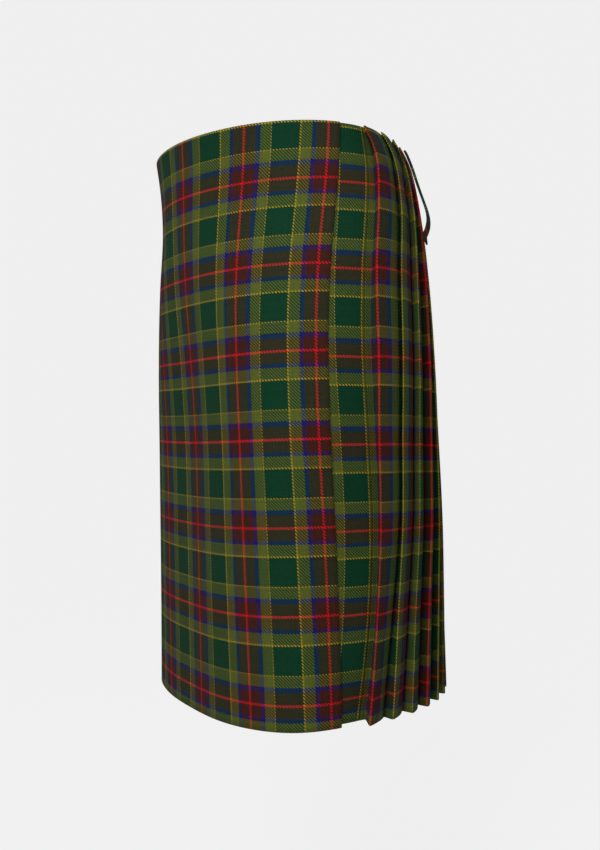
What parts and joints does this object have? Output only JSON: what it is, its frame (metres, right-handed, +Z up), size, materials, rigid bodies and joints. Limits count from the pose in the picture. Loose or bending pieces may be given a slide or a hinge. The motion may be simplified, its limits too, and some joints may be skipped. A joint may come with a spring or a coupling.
{
  "type": "kilt",
  "caption": "Knee-length wrapped tartan skirt with two overlapping flat aprons in front, knife pleats round the back and a belt loop on each side of the back; open at waist and hem.",
  "frame": {"origin": "centre of the waist opening, level with its edge at the sides", "axes": "+Z up out of the waist, the garment hangs towards -Z; front aprons face -Y, pleats are at +Y; +X is the wearer's left"},
  "size_m": [0.3883, 0.35, 0.616],
  "materials": {
    "tartan": "matt wool twill in a dark green tartan with blue, brown, yellow and red lines"
  },
  "bodies": {
    "root": {"over_apron": "tartan", "under_apron": "tartan", "pleats": "tartan", "belt_loop_left": "tartan", "belt_loop_right": "tartan"}
  },
  "joints": []
}
